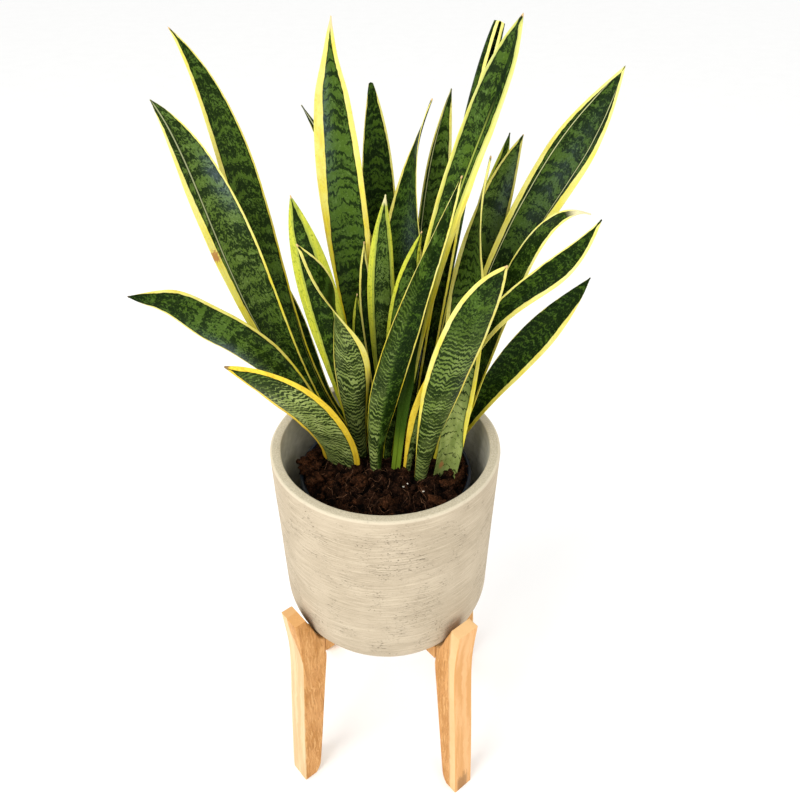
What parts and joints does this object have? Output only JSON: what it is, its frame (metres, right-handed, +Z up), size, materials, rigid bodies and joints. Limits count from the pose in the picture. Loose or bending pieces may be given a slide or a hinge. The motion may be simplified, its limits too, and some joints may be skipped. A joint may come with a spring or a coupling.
{
  "type": "potted snake plant",
  "caption": "Laurentii snake plant: yellow-edged sword leaves in a plastic nursery pot of soil, in a round fibre-clay planter on a wooden stand with splayed legs.",
  "frame": {"origin": "on the floor, on the axis of the planter and its stand, at the bottom centre of the whole", "axes": "+Z up; +Y to the back of the plant and +X to its right, as the picture shows it; the leaves spread mostly along X"},
  "size_m": [0.5057, 0.2858, 1.0263],
  "materials": {
    "fibre_clay": "matt grey-beige fibre clay, brushed round the tub, with small dark pits",
    "dark_plastic": "satin blue-black thin plastic",
    "soil": "dark brown coir and peat crumbs with a few white grains",
    "wood": "light rough-sawn hardwood with a fine grain, unvarnished",
    "leaf": "waxy dark green with grey-green zigzag cross-bands and lemon-yellow margins"
  },
  "bodies": {
    "root": {"leg_1": "wood", "leg_2": "wood", "leg_3": "wood", "leg_4": "wood", "bar_lower": "wood", "bar_upper": "wood", "planter": "fibre_clay", "nursery_pot": "dark_plastic", "soil": "soil", "leaf_01": "leaf", "leaf_02": "leaf", "leaf_03": "leaf", "leaf_04": "leaf", "leaf_05": "leaf", "leaf_06": "leaf", "leaf_07": "leaf", "leaf_08": "leaf", "leaf_09": "leaf", "leaf_10": "leaf", "leaf_11": "leaf", "leaf_12": "leaf", "leaf_13": "leaf", "leaf_14": "leaf", "leaf_15": "leaf", "leaf_16": "leaf", "leaf_17": "leaf", "leaf_18": "leaf", "leaf_19": "leaf", "leaf_20": "leaf", "leaf_21": "leaf", "leaf_22": "leaf", "leaf_23": "leaf", "leaf_24": "leaf", "leaf_25": "leaf", "leaf_26": "leaf", "leaf_27": "leaf", "leaf_28": "leaf"}
  },
  "joints": []
}
